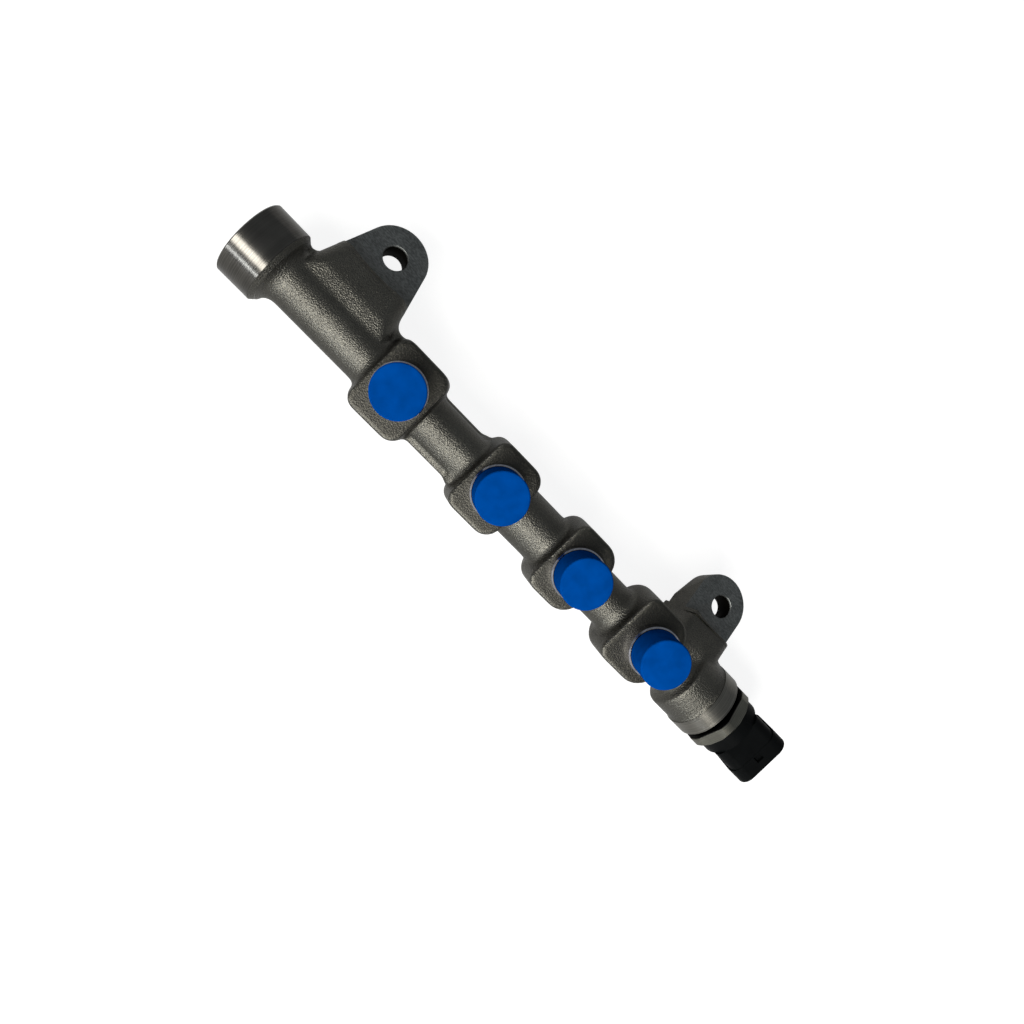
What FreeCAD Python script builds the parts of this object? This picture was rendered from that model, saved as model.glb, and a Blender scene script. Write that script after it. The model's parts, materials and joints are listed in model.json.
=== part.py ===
"""High-pressure fuel rail with four capped outlets and a screwed-in pressure sensor.

Sizes are millimetres. X runs along the rail from the plain head to the sensor, Z along the two
mounting bolts. The origin lies between the bolt holes, on the plane the ears are bolted down on.
"""
import FreeCAD
import Part
import math
import os
import Sketcher

doc = FreeCAD.newDocument("fuel_rail")
sheet = doc.addObject("Spreadsheet::Sheet", "Sizes")

# Sizes that can each be set by themselves
SIZES = {
    # mounting ears
    "bolt_spacing": 173.0,
    "bolt_offset": 30.5,
    "bolt_hole_d": 8.4,
    "bolt_hole_chamfer": 0.4,
    "ear_thickness": 8.1,
    "ear_tip_r": 11.5,
    "ear_a_flare": 15.0,
    "ear_b_shift": 1.3,
    "ear_b_flare": 14.5,
    "ear_b_straight": 10.0,
    "ear_b_spread": 0.4,
    "ear_b_side": 14.9,
    "ear_b_draft": 16.5,
    "web_top": 10.3,
    "web_under": 7.5,
    "web_round": 6.0,
    "web_round_under": 3.4,
    "web_edge": 8.7,
    "web_valley": 2.7,
    "web_valley_z": 8.5,
    "mill_r": 70.0,
    "mill_ahead": 58.0,
    # fillets where an ear runs into its neighbours
    "root_half": 3.9,
    "root_reach": 15.0,
    "root_bend": 0.6,
    "root_3_arc": 5.0,
    # lean of the outlets away from the bolts
    "outlet_lean": 22.5,
    # tube and its ends, which lie beyond the bolts
    "tube_r": 9.0,
    "tube_mid_r": 9.9,
    "flare_r": 3.5,
    "flare_top_r": 12.2,
    "head_r": 14.0,
    "head_beyond": 34.5,
    "head_length": 12.6,
    "head_edge": 0.4,
    "shoulder_r": 12.5,
    "shoulder_length": 1.6,
    "neck_fillet": 5.1,
    "swell_back": 2.0,
    "swell_length": 15.9,
    "swell_r": 13.4,
    "swell_soft": 0.6,
    "collar_r": 13.9,
    "collar_length": 7.1,
    "collar_edge": 0.4,
    # outlet bosses
    "outlet_a": 54.8,
    "outlet_b": 9.7,
    "outlet_c": 29.4,
    "outlet_d": 68.8,
    "boss_left": 10.7,
    "boss_left_d": 13.7,
    "boss_right_a": 10.9,
    "boss_right_b": 9.7,
    "boss_right_c": 8.9,
    "boss_right_d": 8.4,
    "boss_half_width": 14.6,
    "boss_face": 13.8,
    "boss_draft": 1.2,
    "boss_side_draft": 0.35,
    "boss_corner_left": 4.0,
    "boss_corner_right_a": 5.0,
    "boss_corner_right_b": 5.8,
    "boss_corner_right_c": 7.6,
    "boss_corner_right_d": 8.3,
    "flash_reach": 11.5,
    "flash_half": 1.1,
    "flash_root": 3.4,
    "flash_slope": 2.6,
    # nipples
    "nipple_collar_r": 9.4,
    "nipple_collar_h": 3.7,
    "nipple_thread_r": 7.0,
    "nipple_top": 27.6,
    "nipple_edge": 0.5,
    "seat_mouth_r": 4.6,
    "seat_half_angle": 30.0,
    "cross_bore_r": 1.5,
    # bores of the rail
    "main_bore_r": 5.0,
    "port_thread_r": 8.25,
    "port_depth": 12.0,
    "port_mouth": 0.8,
    "sensor_seat_depth": 14.0,
    # transport caps
    "cap_r": 8.75,
    "cap_wall": 1.4,
    "cap_top": 1.5,
    "cap_edge": 0.6,
    "cap_gap": 0.3,
    # sensor, steel
    "sensor_gap": 1.5,
    "thread_gap": 0.3,
    "hex_flats": 26.0,
    "hex_corner_r": 14.1,
    "hex_length": 5.2,
    "hex_bevel_front": 0.8,
    "hex_bevel_back": 0.9,
    "hex_turn": 1.6,
    "nose_r": 6.0,
    "nose_length": 2.0,
    "relief_r": 7.0,
    "relief_length": 3.0,
    "sensor_bore_r": 1.5,
    "cup_r": 12.3,
    "cup_depth": 2.4,
    "cell_r": 4.5,
    "cell_pocket_depth": 3.0,
    "cell_rise": 1.2,
    "cell_wall": 2.0,
    "cell_membrane": 0.6,
    # sensor, plastic connector
    "seal_width": 1.6,
    "seal_thickness": 0.8,
    "base_gap": 0.3,
    "base_length": 7.6,
    "shroud_half_w": 10.5,
    "shroud_half_h": 10.0,
    "shroud_length": 16.0,
    "shroud_corner": 4.0,
    "lip_step": 0.75,
    "lip_rise": 0.15,
    "lip_length": 6.6,
    "socket_wall": 1.7,
    "socket_depth": 12.0,
    "latch_half_w": 1.5,
    "latch_length": 2.8,
    "latch_back": 0.5,
    "latch_depth": 1.1,
    "board_r": 8.5,
    "board_thickness": 1.0,
    "board_room": 3.4,
    "blade_pitch": 4.6,
    "blade_w": 1.5,
    "blade_t": 0.8,
    "blade_reach": 8.0,
}

# Sizes that follow from the ones above
FOLLOWING = {
    "bolt_half": "bolt_spacing / 2",
    "ear_half": "ear_thickness / 2",
    "outlet_x_a": "-outlet_a",
    "outlet_x_b": "-outlet_b",
    "outlet_x_c": "outlet_c",
    "outlet_x_d": "outlet_d",
    # plain head and neck
    "head_end": "bolt_half + head_beyond",
    "head_x": "-head_end",
    "head_edge_x": "head_edge - head_end",
    "head_edge_r": "head_r - head_edge",
    "head_in_x": "head_length - head_end",
    "shoulder_x": "head_in_x + shoulder_length",
    "neck_x": "shoulder_x + sqrt(neck_fillet^2 - (neck_fillet - shoulder_r + tube_r)^2)",
    # flares in front of the bosses
    "flare_run": "sqrt(flare_r^2 - (flare_r - flare_top_r + tube_r)^2)",
    "flare_mid_run": "sqrt(flare_r^2 - (flare_r - flare_top_r + tube_mid_r)^2)",
    "flare_a1": "-outlet_a - boss_left",
    "flare_a0": "flare_a1 - flare_run",
    "flare_b1": "-outlet_b - boss_left",
    "flare_b0": "flare_b1 - flare_run",
    "flare_c1": "outlet_c - boss_left",
    "flare_c0": "flare_c1 - flare_mid_run",
    "flare_d1": "outlet_d - boss_left_d",
    "flare_d0": "flare_d1 - flare_run",
    # swell and machined collar at the sensor end
    "swell_start": "bolt_half - swell_back",
    "swell_fillet": "swell_r - tube_r + swell_soft",
    "swell_x": "swell_start + sqrt(swell_fillet^2 - swell_soft^2)",
    "collar_x": "swell_start + swell_length",
    "collar_end": "collar_x + collar_length",
    "collar_edge_x": "collar_end - collar_edge",
    "collar_edge_r": "collar_r - collar_edge",
    # ear outlines, measured from the rail axis
    "ear_a_x": "-bolt_half",
    "ear_a_run": "ear_tip_r * cos(ear_a_flare)",
    "ear_a_y": "bolt_offset + ear_tip_r * sin(ear_a_flare)",
    "ear_a_l1": "ear_a_x - ear_a_run",
    "ear_a_r1": "ear_a_x + ear_a_run",
    "ear_a_l0": "ear_a_l1 - ear_a_y * tan(ear_a_flare)",
    "ear_a_r0": "ear_a_r1 + ear_a_y * tan(ear_a_flare)",
    "ear_b_x": "bolt_half - ear_b_shift",
    "ear_b_y": "bolt_offset + ear_tip_r * sin(ear_b_flare)",
    "ear_b_l1": "ear_b_x - ear_tip_r * cos(ear_b_flare)",
    "ear_b_l0": "ear_b_l1 - ear_b_y * tan(ear_b_flare)",
    "ear_b_r1": "ear_b_x + ear_tip_r",
    "ear_b_bend": "bolt_offset - ear_b_straight",
    "ear_b_r0": "ear_b_r1 + ear_b_spread",
    "side_low": "bolt_half - ear_b_side - (web_under - ear_half) * tan(ear_b_draft)",
    "side_high": "side_low + (web_total + 1) * tan(ear_b_draft)",
    "side_out": "bolt_half - 3 * ear_b_side",
    "web_low": "-web_under",
    "web_total": "web_top + web_under",
    "web_edge_cut": "web_top + 1",
    "web_span": "2 * bolt_half + 4 * ear_tip_r",
    "mill_cut": "web_top",
    "mill_y": "bolt_offset + mill_ahead",
    "mill_low": "-ear_half",
    "ear_reach": "bolt_offset + 2 * ear_tip_r",
    "bolt_hole_r": "bolt_hole_d / 2",
    # corners of the root fillets
    "root_foot": "tube_r - 2",
    "root_neg_half": "-root_half",
    "root_height": "2 * root_half",
    "root_1_l": "head_in_x",
    "root_1_low": "shoulder_r",
    "root_1_r": "ear_a_l0 + root_reach * tan(ear_a_flare)",
    "root_1_high": "root_reach",
    "root_2_l": "ear_a_r0 - root_2_low * tan(ear_a_flare)",
    "root_2_low": "root_reach + 2",
    "root_2_r": "outlet_x_a - boss_left",
    "root_2_high": "root_reach - 1",
    "root_1_arc": "root_bend * sqrt((root_1_r - root_1_l)^2 + (root_1_high - root_1_low)^2)",
    "root_2_arc": "root_bend * sqrt((root_2_r - root_2_l)^2 + (root_2_high - root_2_low)^2)",
    "root_3_l": "ear_b_r1",
    "root_3_low": "swell_r + root_3_arc",
    "root_3_r": "ear_b_r1 + root_3_arc",
    "root_3_high": "swell_r",
    # trimmed flash beside the tube between the first two bosses
    "flash_length": "outlet_a - outlet_b",
    "flash_neg_reach": "-flash_reach",
    "flash_neg_half": "-flash_half",
    "flash_neg_root": "-flash_root",
    "flash_in": "flash_reach - flash_slope",
    "flash_neg_in": "-flash_in",
    # nipple, seen from the rail axis
    "nipple_foot": "boss_face - 1",
    "nipple_shelf": "boss_face + nipple_collar_h",
    "nipple_shelf_low": "nipple_shelf - nipple_edge",
    "nipple_collar_in": "nipple_collar_r - nipple_edge",
    "nipple_top_low": "nipple_top - 2 * nipple_edge",
    "nipple_thread_in": "nipple_thread_r - 2 * nipple_edge",
    # bores
    "seat_foot": "nipple_top - (seat_mouth_r - cross_bore_r) / tan(seat_half_angle)",
    "seat_over": "nipple_top + 1",
    "seat_over_r": "seat_mouth_r + tan(seat_half_angle)",
    "port_a_mouth_x": "head_x + port_mouth",
    "port_mouth_r": "port_thread_r + port_mouth",
    "port_a_end_x": "head_x + port_depth",
    "port_a_foot_x": "port_a_end_x + (port_thread_r - main_bore_r) / tan(60)",
    "port_b_mouth_x": "collar_end - port_mouth",
    "port_b_end_x": "collar_end - port_depth",
    "nose_room_r": "nose_r + thread_gap",
    "port_b_step_x": "port_b_end_x - (port_thread_r - nose_room_r) / tan(60)",
    "port_b_seat_x": "collar_end - sensor_seat_depth",
    # transport cap, standing on its own open rim
    "cap_foot": "nipple_shelf + cap_gap",
    "cap_height": "nipple_top + cap_top - cap_foot",
    "cap_in_r": "cap_r - cap_wall",
    "cap_room": "nipple_top - cap_foot",
    "cap_edge_z": "cap_height - cap_edge",
    "cap_edge_r": "cap_r - cap_edge",
    # sensor body, measured from the collar's end face
    "stub_r": "port_thread_r - thread_gap",
    "nose_x": "-sensor_seat_depth",
    "nose_back_x": "nose_length - sensor_seat_depth",
    "stub_x": "nose_back_x + stub_r - nose_r",
    "relief_x": "-relief_length",
    "hex_back": "sensor_gap + hex_length",
    "hex_front_r": "hex_corner_r - hex_bevel_front * tan(60)",
    "hex_front_x": "sensor_gap + hex_bevel_front",
    "hex_rear_x": "hex_back - hex_bevel_back",
    "hex_rear_r": "hex_corner_r - hex_bevel_back",
    "hex_vertex_r": "hex_flats / 2 / cos(30)",
    "hex_cut": "3 * hex_corner_r",
    "cup_x": "hex_back - cup_depth",
    "cell_x": "cup_x - cell_pocket_depth",
    "cell_room_r": "cell_r + thread_gap",
    "cell_length": "cell_pocket_depth + cell_rise",
    "cell_hollow_r": "cell_r - cell_wall",
    "cell_hollow": "cell_length - cell_membrane",
    # connector, measured from the collar's end face
    "base_x": "cup_x + seal_thickness",
    "base_r": "cup_r - base_gap",
    "base_end": "base_x + base_length",
    "seal_out_r": "base_r - base_gap",
    "seal_in_r": "seal_out_r - seal_width",
    "board_room_x": "base_x + board_room",
    "board_x": "board_room_x - board_thickness",
    "board_room_r": "board_r + thread_gap",
    "shroud_end": "base_end + shroud_length",
    "lip_x": "shroud_end - lip_length",
    "lip_half_w": "shroud_half_w + lip_step",
    "lip_half_h": "shroud_half_h + lip_rise",
    "lip_corner": "shroud_corner + lip_step",
    "latch_neg_w": "-latch_half_w",
    "latch_x": "lip_x + latch_back",
    "latch_end": "latch_x + latch_length",
    "socket_half_w": "shroud_half_w - socket_wall",
    "socket_half_h": "shroud_half_h - socket_wall",
    "socket_corner": "shroud_corner - socket_wall",
    "socket_x": "shroud_end - socket_depth",
    "blade_length": "socket_x + blade_reach - board_room_x",
    "blade_half_t": "blade_t / 2",
    "blade_low": "-blade_half_t",
    "blade_slot": "socket_x - board_room_x",
}


def store(row, name, content):
    """One sheet row: the name, its content, and the same name as alias."""
    sheet.set("A%d" % row, name)
    sheet.set("B%d" % row, content)
    sheet.setAlias("B%d" % row, name)


def rounded_names(name, left, right, half, corner_left, corner_right):
    """Sheet entries for a rounded rectangle that is even about its long centre line."""
    FOLLOWING[name + "_l"] = left
    FOLLOWING[name + "_r"] = right
    FOLLOWING[name + "_lc"] = "%s_l + %s" % (name, corner_left)
    FOLLOWING[name + "_rc"] = "%s_r - %s" % (name, corner_right)
    FOLLOWING[name + "_w"] = half
    FOLLOWING[name + "_wl"] = "%s_w - %s" % (name, corner_left)
    FOLLOWING[name + "_wr"] = "%s_w - %s" % (name, corner_right)
    for end in ("_w", "_wl", "_wr"):
        FOLLOWING[name + "_n" + end[1:]] = "-%s%s" % (name, end)


for letter in "abcd":
    left = "boss_left_d" if letter == "d" else "boss_left"
    here = "outlet_x_" + letter
    rounded_names("foot_" + letter, "%s - %s - boss_draft" % (here, left),
                  "%s + boss_right_%s + boss_draft" % (here, letter), "boss_half_width",
                  "boss_corner_left", "boss_corner_right_" + letter)
    rounded_names("face_" + letter, "%s - %s" % (here, left), "%s + boss_right_%s" % (here, letter),
                  "boss_half_width - boss_side_draft", "boss_corner_left",
                  "boss_corner_right_" + letter)
rounded_names("shroud", "-shroud_half_w", "shroud_half_w", "shroud_half_h",
              "shroud_corner", "shroud_corner")
rounded_names("lip", "-lip_half_w", "lip_half_w", "lip_half_h", "lip_corner", "lip_corner")
rounded_names("socket", "-socket_half_w", "socket_half_w", "socket_half_h",
              "socket_corner", "socket_corner")
for place in range(1, 4):
    FOLLOWING["blade_%d_l" % place] = "blade_pitch * %d - blade_w / 2" % (place - 2)
    FOLLOWING["blade_%d_r" % place] = "blade_pitch * %d + blade_w / 2" % (place - 2)
for corner in range(6):
    turn = "(60 * %d + 90 + hex_turn)" % corner
    FOLLOWING["hex_y%d" % corner] = "hex_vertex_r * cos" + turn
    FOLLOWING["hex_z%d" % corner] = "hex_vertex_r * sin" + turn

row = 1
for name, size in SIZES.items():
    store(row, name, str(size))
    row += 1
for name, formula in FOLLOWING.items():
    store(row, name, "=" + formula)
    row += 1
doc.recompute()


def number(name):
    """Value of a named size; plain 0 stands for the axis."""
    return 0.0 if name == 0 else float(sheet.get(name))


def link(thing, prop, formula):
    """Tie a property to sheet names; every bare name in the formula is prefixed."""
    thing.setExpression(prop, formula)


def new_body(name):
    return doc.addObject("PartDesign::Body", name)


def origin_plane(body, role):
    return next(item for item in body.Origin.OriginFeatures if item.Role == role)


def new_sketch(body, name, role, height=None):
    """Sketch on one of the body's own planes, raised by a named height."""
    sketch = body.newObject("Sketcher::SketchObject", name)
    sketch.AttachmentSupport = (origin_plane(body, role), [""])
    sketch.MapMode = "FlatFace"
    if height:
        link(sketch, "AttachmentOffset.Base.z", "Sizes." + height)
    return sketch


def pin(sketch, geo, end, x, y):
    """Hold one end of an edge at two named sizes."""
    for name, kind, axis in ((x, "DistanceX", -2), (y, "DistanceY", -1)):
        if name == 0:
            sketch.addConstraint(Sketcher.Constraint("PointOnObject", geo, end, axis))
            continue
        index = sketch.addConstraint(Sketcher.Constraint(kind, -1, 1, geo, end, number(name)))
        link(sketch, "Constraints[%d]" % index, "Sizes." + name)


def outline(sketch, nodes):
    """Closed outline; a node is (x, y), or (x, y, radius, side) when an arc follows it."""
    points = [FreeCAD.Vector(number(node[0]), number(node[1]), 0) for node in nodes]
    edges = []
    for k, node in enumerate(nodes):
        start = points[k]
        stop = points[(k + 1) % len(nodes)]
        if len(node) == 2:
            edges.append((sketch.addGeometry(Part.LineSegment(start, stop)), 1, 2))
            continue
        radius = number(node[2])
        chord = stop - start
        across = FreeCAD.Vector(-chord.y, chord.x, 0).normalize()
        rise = math.sqrt(max(radius ** 2 - (chord.Length / 2) ** 2, 0))
        centre = (start + stop) * 0.5 + across * rise * node[3]
        circle = Part.Circle(centre, FreeCAD.Vector(0, 0, 1), radius)
        first, last = (start, stop) if node[3] > 0 else (stop, start)
        arc = Part.ArcOfCircle(circle, circle.parameter(first), circle.parameter(last))
        geo = sketch.addGeometry(arc)
        edges.append((geo, 1, 2) if node[3] > 0 else (geo, 2, 1))
        index = sketch.addConstraint(Sketcher.Constraint("Radius", geo, radius))
        link(sketch, "Constraints[%d]" % index, "Sizes." + node[2])
    for k, (geo, start_end, stop_end) in enumerate(edges):
        before, unused, before_end = edges[k - 1]
        sketch.addConstraint(Sketcher.Constraint("Coincident", before, before_end, geo, start_end))
        pin(sketch, geo, start_end, nodes[k][0], nodes[k][1])


def rounded(sketch, name, corner_left, corner_right):
    """Rounded rectangle from the entries that rounded_names made."""
    n = name
    outline(sketch, [(n + "_lc", n + "_nw"), (n + "_rc", n + "_nw", corner_right, 1),
                     (n + "_r", n + "_nwr"), (n + "_r", n + "_wr", corner_right, 1),
                     (n + "_rc", n + "_w"), (n + "_lc", n + "_w", corner_left, 1),
                     (n + "_l", n + "_wl"), (n + "_l", n + "_nwl", corner_left, 1)])


def circle(sketch, x, y, radius):
    """Circle of a named radius about a named point."""
    geo = sketch.addGeometry(Part.Circle(FreeCAD.Vector(number(x), number(y), 0),
                                         FreeCAD.Vector(0, 0, 1), number(radius)))
    pin(sketch, geo, 3, x, y)
    index = sketch.addConstraint(Sketcher.Constraint("Radius", geo, number(radius)))
    link(sketch, "Constraints[%d]" % index, "Sizes." + radius)


def pad(body, sketch, length):
    feature = body.newObject("PartDesign::Pad", sketch.Name + "_pad")
    feature.Profile = sketch
    link(feature, "Length", "Sizes." + length)
    return feature


def pocket(body, sketch, length, upward=False):
    feature = body.newObject("PartDesign::Pocket", sketch.Name + "_cut")
    feature.Profile = sketch
    feature.Reversed = upward
    link(feature, "Length", "Sizes." + length)
    return feature


def turn(body, sketch, axis="H_Axis", angle=360.0, kind="Revolution"):
    feature = body.newObject("PartDesign::" + kind, sketch.Name + "_turned")
    feature.Profile = sketch
    feature.ReferenceAxis = (sketch, [axis])
    feature.Angle = angle
    return feature


def lean_over(thing):
    """Tilt a thing about the rail axis, away from the bolts."""
    thing.Placement = FreeCAD.Placement(FreeCAD.Vector(), FreeCAD.Rotation(FreeCAD.Vector(1, 0, 0), 22.5))
    link(thing, "Placement.Rotation.Angle", "Sizes.outlet_lean")


def rim_edges(feature, height):
    """Names of the edges at one height, without the one on the rail's middle plane."""
    names = []
    for index, edge in enumerate(feature.Shape.Edges, 1):
        level = all(abs(vertex.Z - height) < 1e-4 for vertex in edge.Vertexes)
        if level and max(vertex.Y for vertex in edge.Vertexes) > 1e-4:
            names.append("Edge%d" % index)
    return names


def round_edges(feature, radius):
    """Names of the full circles of one radius."""
    names = []
    for index, edge in enumerate(feature.Shape.Edges, 1):
        if edge.Curve.TypeId == "Part::GeomCircle" and abs(edge.Curve.Radius - radius) < 1e-4:
            names.append("Edge%d" % index)
    return names


# The turned shape: head, neck, tube, flares in front of the bosses, swell and collar
turned = new_body("turned")
profile = new_sketch(turned, "rail_profile", "XZ_Plane")
outline(profile, [
    ("head_x", 0), ("head_x", "head_edge_r"), ("head_edge_x", "head_r"), ("head_in_x", "head_r"),
    ("shoulder_x", "shoulder_r", "neck_fillet", 1), ("neck_x", "tube_r"),
    ("flare_a0", "tube_r", "flare_r", 1), ("flare_a1", "flare_top_r"), ("flare_a1", "tube_r"),
    ("flare_b0", "tube_r", "flare_r", 1), ("flare_b1", "flare_top_r"), ("flare_b1", "tube_mid_r"),
    ("flare_c0", "tube_mid_r", "flare_r", 1), ("flare_c1", "flare_top_r"), ("flare_c1", "tube_r"),
    ("flare_d0", "tube_r", "flare_r", 1), ("flare_d1", "flare_top_r"), ("flare_d1", "tube_r"),
    ("swell_start", "tube_r", "swell_fillet", 1), ("swell_x", "swell_r"), ("collar_x", "swell_r"),
    ("collar_x", "collar_r"), ("collar_edge_x", "collar_r"), ("collar_end", "collar_edge_r"),
    ("collar_end", 0)])
turn(turned, profile)

# One boss for each outlet: drafted block above the axis, rounded belly below, turned nipple on top
bosses = []
for letter in "abcd":
    boss = new_body("boss_" + letter)
    foot = new_sketch(boss, "boss_foot_" + letter, "XY_Plane")
    rounded(foot, "foot_" + letter, "boss_corner_left", "boss_corner_right_" + letter)
    face = new_sketch(boss, "boss_face_" + letter, "XY_Plane", "boss_face")
    rounded(face, "face_" + letter, "boss_corner_left", "boss_corner_right_" + letter)
    block = boss.newObject("PartDesign::AdditiveLoft", "boss_block_" + letter)
    block.Profile = foot
    block.Sections = [face]
    block.Ruled = True
    belly = new_sketch(boss, "boss_belly_" + letter, "XY_Plane")
    n = "foot_" + letter
    outline(belly, [(n + "_l", 0), (n + "_l", n + "_nwl", "boss_corner_left", 1),
                    (n + "_lc", n + "_nw"), (n + "_rc", n + "_nw", "boss_corner_right_" + letter, 1),
                    (n + "_r", n + "_nwr"), (n + "_r", 0)])
    turn(boss, belly, "H_Axis", 180.0)
    nipple = new_sketch(boss, "nipple_" + letter, "XZ_Plane")
    link(nipple, "AttachmentOffset.Base.x", "Sizes.outlet_x_" + letter)
    outline(nipple, [
        (0, "nipple_foot"), ("nipple_collar_r", "nipple_foot"),
        ("nipple_collar_r", "nipple_shelf_low"), ("nipple_collar_in", "nipple_shelf"),
        ("nipple_thread_r", "nipple_shelf"), ("nipple_thread_r", "nipple_top_low"),
        ("nipple_thread_in", "nipple_top"), (0, "nipple_top")])
    turn(boss, nipple, "V_Axis")
    lean_over(boss)
    bosses.append(boss)

# Ears: forged webs with a sloping facet, milled down to the flange round each bolt hole
ears = []
EARS = {
    "a": [("ear_a_l0", 0), ("ear_a_r0", 0), ("ear_a_r1", "ear_a_y", "ear_tip_r", 1),
          ("ear_a_l1", "ear_a_y")],
    "b": [("ear_b_l0", 0), ("ear_b_r0", 0), ("ear_b_r1", "ear_b_bend"),
          ("ear_b_r1", "bolt_offset", "ear_tip_r", 1), ("ear_b_l1", "ear_b_y")],
}
for letter, nodes in EARS.items():
    ear = new_body("ear_" + letter)
    web = new_sketch(ear, "ear_outline_" + letter, "XY_Plane", "web_low")
    outline(web, nodes)
    block = pad(ear, web, "web_total")
    doc.recompute()
    rounding = ear.newObject("PartDesign::Fillet", "ear_round_" + letter)
    rounding.Base = (block, rim_edges(block, number("web_top")))
    link(rounding, "Radius", "Sizes.web_round")
    doc.recompute()
    belly = ear.newObject("PartDesign::Fillet", "ear_round_under_" + letter)
    belly.Base = (rounding, rim_edges(rounding, number("web_low")))
    link(belly, "Radius", "Sizes.web_round_under")
    if letter == "b":
        side = new_sketch(ear, "ear_side_b", "XZ_Plane")
        outline(side, [("side_low", "web_low"), ("side_high", "web_edge_cut"),
                       ("side_out", "web_edge_cut"), ("side_out", "web_low")])
        pocket(ear, side, "ear_reach")
    facet = new_sketch(ear, "ear_facet_" + letter, "YZ_Plane")
    outline(facet, [(0, "web_valley_z"), ("web_valley", "web_valley_z"), ("web_edge", "web_top"),
                    ("web_edge", "web_edge_cut"), (0, "web_edge_cut")])
    slope = pocket(ear, facet, "web_span")
    slope.Midplane = True
    middle = "ear_a_x" if letter == "a" else "bolt_half"
    above = new_sketch(ear, "ear_seat_top_" + letter, "XY_Plane", "ear_half")
    circle(above, middle, "mill_y", "mill_r")
    pocket(ear, above, "mill_cut", True)
    below = new_sketch(ear, "ear_seat_under_" + letter, "XY_Plane", "mill_low")
    circle(below, middle, "mill_y", "mill_r")
    pocket(ear, below, "mill_cut")
    hole = new_sketch(ear, "bolt_hole_" + letter, "XY_Plane", "web_low")
    circle(hole, middle, "bolt_offset", "bolt_hole_r")
    drilled_ear = pocket(ear, hole, "web_total", True)
    doc.recompute()
    rims = ear.newObject("PartDesign::Chamfer", "bolt_hole_rim_" + letter)
    rims.Base = (drilled_ear, round_edges(drilled_ear, number("bolt_hole_r")))
    link(rims, "Size", "Sizes.bolt_hole_chamfer")
    ears.append(ear)

# Forging fillets where the ears run into the head's shoulder, the first boss and the swell
for place in "123":
    root = new_body("root_" + place)
    corner = new_sketch(root, "root_outline_" + place, "XY_Plane", "root_neg_half")
    n = "root_" + place
    outline(corner, [(n + "_l", "root_foot"), (n + "_r", "root_foot"),
                     (n + "_r", n + "_high", n + "_arc", -1), (n + "_l", n + "_low")])
    pad(root, corner, "root_height")
    ears.append(root)

# Strip of forging flash left along both sides of the tube between the first two bosses
flash = new_body("flash")
strip = new_sketch(flash, "flash_section", "YZ_Plane", "outlet_x_a")
outline(strip, [
    ("flash_neg_reach", "flash_neg_half"), ("flash_neg_in", "flash_neg_root"),
    ("flash_in", "flash_neg_root"), ("flash_reach", "flash_neg_half"),
    ("flash_reach", "flash_half"), ("flash_in", "flash_root"), ("flash_neg_in", "flash_root"),
    ("flash_neg_reach", "flash_half")])
pad(flash, strip, "flash_length")

forging = doc.addObject("Part::MultiFuse", "forging")
forging.Shapes = [turned, flash] + bosses + ears

# Everything drilled: lengthwise bore with a threaded port at each end, and four cross bores
bore = new_body("bore")
lengthwise = new_sketch(bore, "bore_profile", "XZ_Plane")
outline(lengthwise, [
    ("head_x", 0), ("head_x", "port_mouth_r"), ("port_a_mouth_x", "port_thread_r"),
    ("port_a_end_x", "port_thread_r"), ("port_a_foot_x", "main_bore_r"),
    ("port_b_seat_x", "main_bore_r"), ("port_b_seat_x", "nose_room_r"),
    ("port_b_step_x", "nose_room_r"), ("port_b_end_x", "port_thread_r"),
    ("port_b_mouth_x", "port_thread_r"), ("collar_end", "port_mouth_r"), ("collar_end", 0)])
turn(bore, lengthwise)
drillings = [bore]
for letter in "abcd":
    cross = new_body("cross_bore_" + letter)
    path = new_sketch(cross, "cross_profile_" + letter, "XZ_Plane")
    link(path, "AttachmentOffset.Base.x", "Sizes.outlet_x_" + letter)
    outline(path, [(0, 0), ("cross_bore_r", 0), ("cross_bore_r", "seat_foot"),
                   ("seat_over_r", "seat_over"), (0, "seat_over")])
    turn(cross, path, "V_Axis")
    lean_over(cross)
    drillings.append(cross)
drilled = doc.addObject("Part::MultiFuse", "drilled")
drilled.Shapes = drillings

rail = doc.addObject("Part::Cut", "rail_body")
rail.Base = forging
rail.Tool = drilled
link(rail, "Placement.Base.y", "-Sizes.bolt_offset")
link(rail, "Placement.Base.z", "Sizes.ear_half")
parts = [rail]


def on_rail(body, along, out="0"):
    """Place a part by its distance along the rail and out along the outlets."""
    lean_over(body)
    link(body, "Placement.Base.x", along)
    link(body, "Placement.Base.y", "-Sizes.bolt_offset - (%s) * sin(Sizes.outlet_lean)" % out)
    link(body, "Placement.Base.z", "Sizes.ear_half + (%s) * cos(Sizes.outlet_lean)" % out)
    parts.append(body)


# Push-on transport caps, closed at the top and open at the foot
for place, letter in enumerate("abcd", 1):
    cap = new_body("outlet_cap_%d" % place)
    shell = new_sketch(cap, "cap_profile_%d" % place, "XZ_Plane")
    outline(shell, [("cap_in_r", 0), ("cap_r", 0), ("cap_r", "cap_edge_z", "cap_edge", 1),
                    ("cap_edge_r", "cap_height"), (0, "cap_height"), (0, "cap_room"),
                    ("cap_in_r", "cap_room")])
    turn(cap, shell, "V_Axis")
    on_rail(cap, "Sizes.outlet_x_" + letter, "Sizes.cap_foot")

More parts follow.
